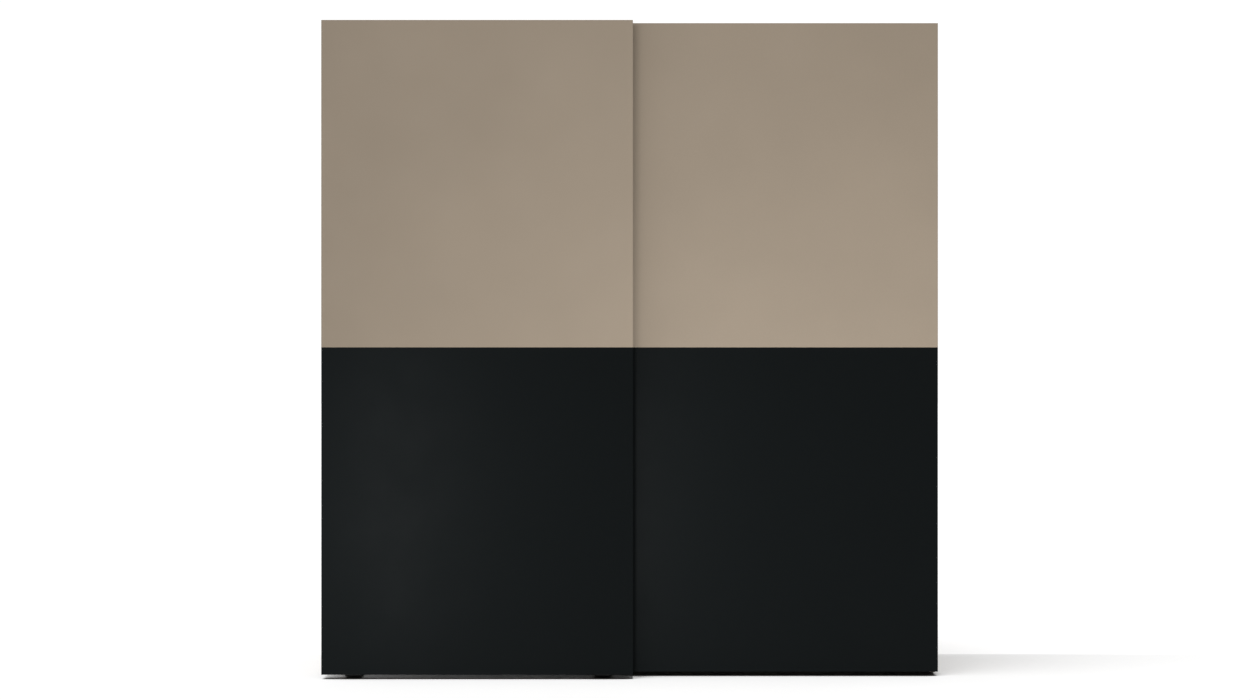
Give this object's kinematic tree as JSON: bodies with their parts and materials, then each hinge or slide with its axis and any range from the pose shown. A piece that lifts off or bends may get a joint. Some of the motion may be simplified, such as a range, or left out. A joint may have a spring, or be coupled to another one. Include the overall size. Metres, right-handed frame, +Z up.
{
  "type": "sliding door wardrobe",
  "caption": "Handle-less sliding wardrobe: flat doors, taupe above and anthracite below, hang from a double top track in front of a carcass with partition, shelves and hanging rails.",
  "frame": {"origin": "on the floor, at the middle of the wardrobe's footprint", "axes": "+X to the right as seen from the front, +Y to the back wall, +Z up"},
  "size_m": [2.03, 0.64, 2.164],
  "materials": {
    "door_taupe": "matt taupe melamine-faced board",
    "door_anthracite": "matt anthracite melamine-faced board",
    "carcass_taupe": "matt taupe melamine-faced board",
    "interior_board": "linen-textured melamine-faced board",
    "hardboard": "thin hardboard, printed inside and bare behind",
    "white_plastic": "extruded",
    "rail_chrome": "polished",
    "zinc_steel": "zinc-plated",
    "carriage_steel": "black powder coat",
    "black_plastic": "moulded",
    "track_aluminium": "extruded and anodised",
    "wheel_nylon": "moulded nylon",
    "seal_brush": "pile on a woven base"
  },
  "bodies": {
    "carcass": {"left_side_panel": "carcass_taupe", "right_side_panel": "carcass_taupe", "centre_partition": "interior_board", "left_top_panel": "interior_board", "right_top_panel": "interior_board", "left_bottom_panel": "interior_board", "right_bottom_panel": "interior_board", "front_plinth": "carcass_taupe", "left_outer_back_panel": "hardboard", "left_inner_back_panel": "hardboard", "right_inner_back_panel": "hardboard", "right_outer_back_panel": "hardboard", "back_joint_strips": "white_plastic", "left_hat_shelf": "interior_board", "right_hat_shelf": "interior_board", "right_middle_shelf": "interior_board", "right_lower_shelf": "interior_board", "left_hanging_rail": "rail_chrome", "right_hanging_rail": "rail_chrome", "hanging_rail_sockets": "rail_chrome", "shelf_supports": "zinc_steel", "cam_fittings": "zinc_steel", "levelling_feet": "black_plastic", "wall_brackets": "zinc_steel", "top_track": "track_aluminium", "bottom_guide_track": "track_aluminium", "track_end_stops": "black_plastic", "carcass_screws": "zinc_steel"},
    "left_door": {"left_door_upper_panel": "door_taupe", "left_door_lower_panel": "door_anthracite", "left_door_stiffeners": "track_aluminium", "left_door_joint_plates": "zinc_steel", "left_door_hangers": "zinc_steel", "left_door_carriages": "carriage_steel", "left_door_axles": "zinc_steel", "left_door_guide_brackets": "carriage_steel", "left_door_screws": "zinc_steel", "left_door_brush": "seal_brush"},
    "left_door_wheel_1": {"left_door_wheel_1": "wheel_nylon"},
    "left_door_wheel_2": {"left_door_wheel_2": "wheel_nylon"},
    "left_door_wheel_3": {"left_door_wheel_3": "wheel_nylon"},
    "left_door_wheel_4": {"left_door_wheel_4": "wheel_nylon"},
    "left_door_guide_roller_1": {"left_door_guide_roller_1": "wheel_nylon"},
    "left_door_guide_roller_2": {"left_door_guide_roller_2": "wheel_nylon"},
    "right_door": {"right_door_upper_panel": "door_taupe", "right_door_lower_panel": "door_anthracite", "right_door_stiffeners": "track_aluminium", "right_door_joint_plates": "zinc_steel", "right_door_hangers": "zinc_steel", "right_door_carriages": "carriage_steel", "right_door_axles": "zinc_steel", "right_door_guide_brackets": "carriage_steel", "right_door_screws": "zinc_steel", "right_door_brush": "seal_brush"},
    "right_door_wheel_1": {"right_door_wheel_1": "wheel_nylon"},
    "right_door_wheel_2": {"right_door_wheel_2": "wheel_nylon"},
    "right_door_wheel_3": {"right_door_wheel_3": "wheel_nylon"},
    "right_door_wheel_4": {"right_door_wheel_4": "wheel_nylon"},
    "right_door_guide_roller_1": {"right_door_guide_roller_1": "wheel_nylon"},
    "right_door_guide_roller_2": {"right_door_guide_roller_2": "wheel_nylon"}
  },
  "joints": [
    {"name": "left_door_slide", "type": "slide", "parent": "carcass", "child": "left_door", "axis": [1, 0, 0], "range_m": [0, 1.009]},
    {"name": "right_door_slide", "type": "slide", "parent": "carcass", "child": "right_door", "axis": [1, 0, 0], "range_m": [-1.009, 0]},
    {"name": "left_door_wheel_1_spin", "type": "hinge", "parent": "left_door", "child": "left_door_wheel_1", "pos_m": [-0.927, -0.124, 2.1313], "axis": [0, 1, 0], "continuous": true},
    {"name": "left_door_wheel_2_spin", "type": "hinge", "parent": "left_door", "child": "left_door_wheel_2", "pos_m": [-0.843, -0.124, 2.1313], "axis": [0, 1, 0], "continuous": true},
    {"name": "left_door_wheel_3_spin", "type": "hinge", "parent": "left_door", "child": "left_door_wheel_3", "pos_m": [-0.166, -0.124, 2.1313], "axis": [0, 1, 0], "continuous": true},
    {"name": "left_door_wheel_4_spin", "type": "hinge", "parent": "left_door", "child": "left_door_wheel_4", "pos_m": [-0.082, -0.124, 2.1313], "axis": [0, 1, 0], "continuous": true},
    {"name": "left_door_guide_roller_1_spin", "type": "hinge", "parent": "left_door", "child": "left_door_guide_roller_1", "pos_m": [-0.915, -0.175, 0.053], "axis": [0, 0, 1], "continuous": true},
    {"name": "left_door_guide_roller_2_spin", "type": "hinge", "parent": "left_door", "child": "left_door_guide_roller_2", "pos_m": [-0.094, -0.175, 0.053], "axis": [0, 0, 1], "continuous": true},
    {"name": "right_door_wheel_1_spin", "type": "hinge", "parent": "right_door", "child": "right_door_wheel_1", "pos_m": [0.082, -0.178, 2.1313], "axis": [0, 1, 0], "continuous": true},
    {"name": "right_door_wheel_2_spin", "type": "hinge", "parent": "right_door", "child": "right_door_wheel_2", "pos_m": [0.166, -0.178, 2.1313], "axis": [0, 1, 0], "continuous": true},
    {"name": "right_door_wheel_3_spin", "type": "hinge", "parent": "right_door", "child": "right_door_wheel_3", "pos_m": [0.843, -0.178, 2.1313], "axis": [0, 1, 0], "continuous": true},
    {"name": "right_door_wheel_4_spin", "type": "hinge", "parent": "right_door", "child": "right_door_wheel_4", "pos_m": [0.927, -0.178, 2.1313], "axis": [0, 1, 0], "continuous": true},
    {"name": "right_door_guide_roller_1_spin", "type": "hinge", "parent": "right_door", "child": "right_door_guide_roller_1", "pos_m": [0.094, -0.192, 0.053], "axis": [0, 0, 1], "continuous": true},
    {"name": "right_door_guide_roller_2_spin", "type": "hinge", "parent": "right_door", "child": "right_door_guide_roller_2", "pos_m": [0.915, -0.192, 0.053], "axis": [0, 0, 1], "continuous": true}
  ],
  "couplings": [
    {"joint": "left_door_wheel_1_spin", "follows": "left_door_slide", "rad_per_m": 71.429},
    {"joint": "left_door_wheel_2_spin", "follows": "left_door_slide", "rad_per_m": 71.429},
    {"joint": "left_door_wheel_3_spin", "follows": "left_door_slide", "rad_per_m": 71.429},
    {"joint": "left_door_wheel_4_spin", "follows": "left_door_slide", "rad_per_m": 71.429},
    {"joint": "left_door_guide_roller_1_spin", "follows": "left_door_slide", "rad_per_m": 138.89},
    {"joint": "left_door_guide_roller_2_spin", "follows": "left_door_slide", "rad_per_m": 138.89},
    {"joint": "right_door_wheel_1_spin", "follows": "right_door_slide", "rad_per_m": 71.429},
    {"joint": "right_door_wheel_2_spin", "follows": "right_door_slide", "rad_per_m": 71.429},
    {"joint": "right_door_wheel_3_spin", "follows": "right_door_slide", "rad_per_m": 71.429},
    {"joint": "right_door_wheel_4_spin", "follows": "right_door_slide", "rad_per_m": 71.429},
    {"joint": "right_door_guide_roller_1_spin", "follows": "right_door_slide", "rad_per_m": 138.89},
    {"joint": "right_door_guide_roller_2_spin", "follows": "right_door_slide", "rad_per_m": 138.89}
  ]
}
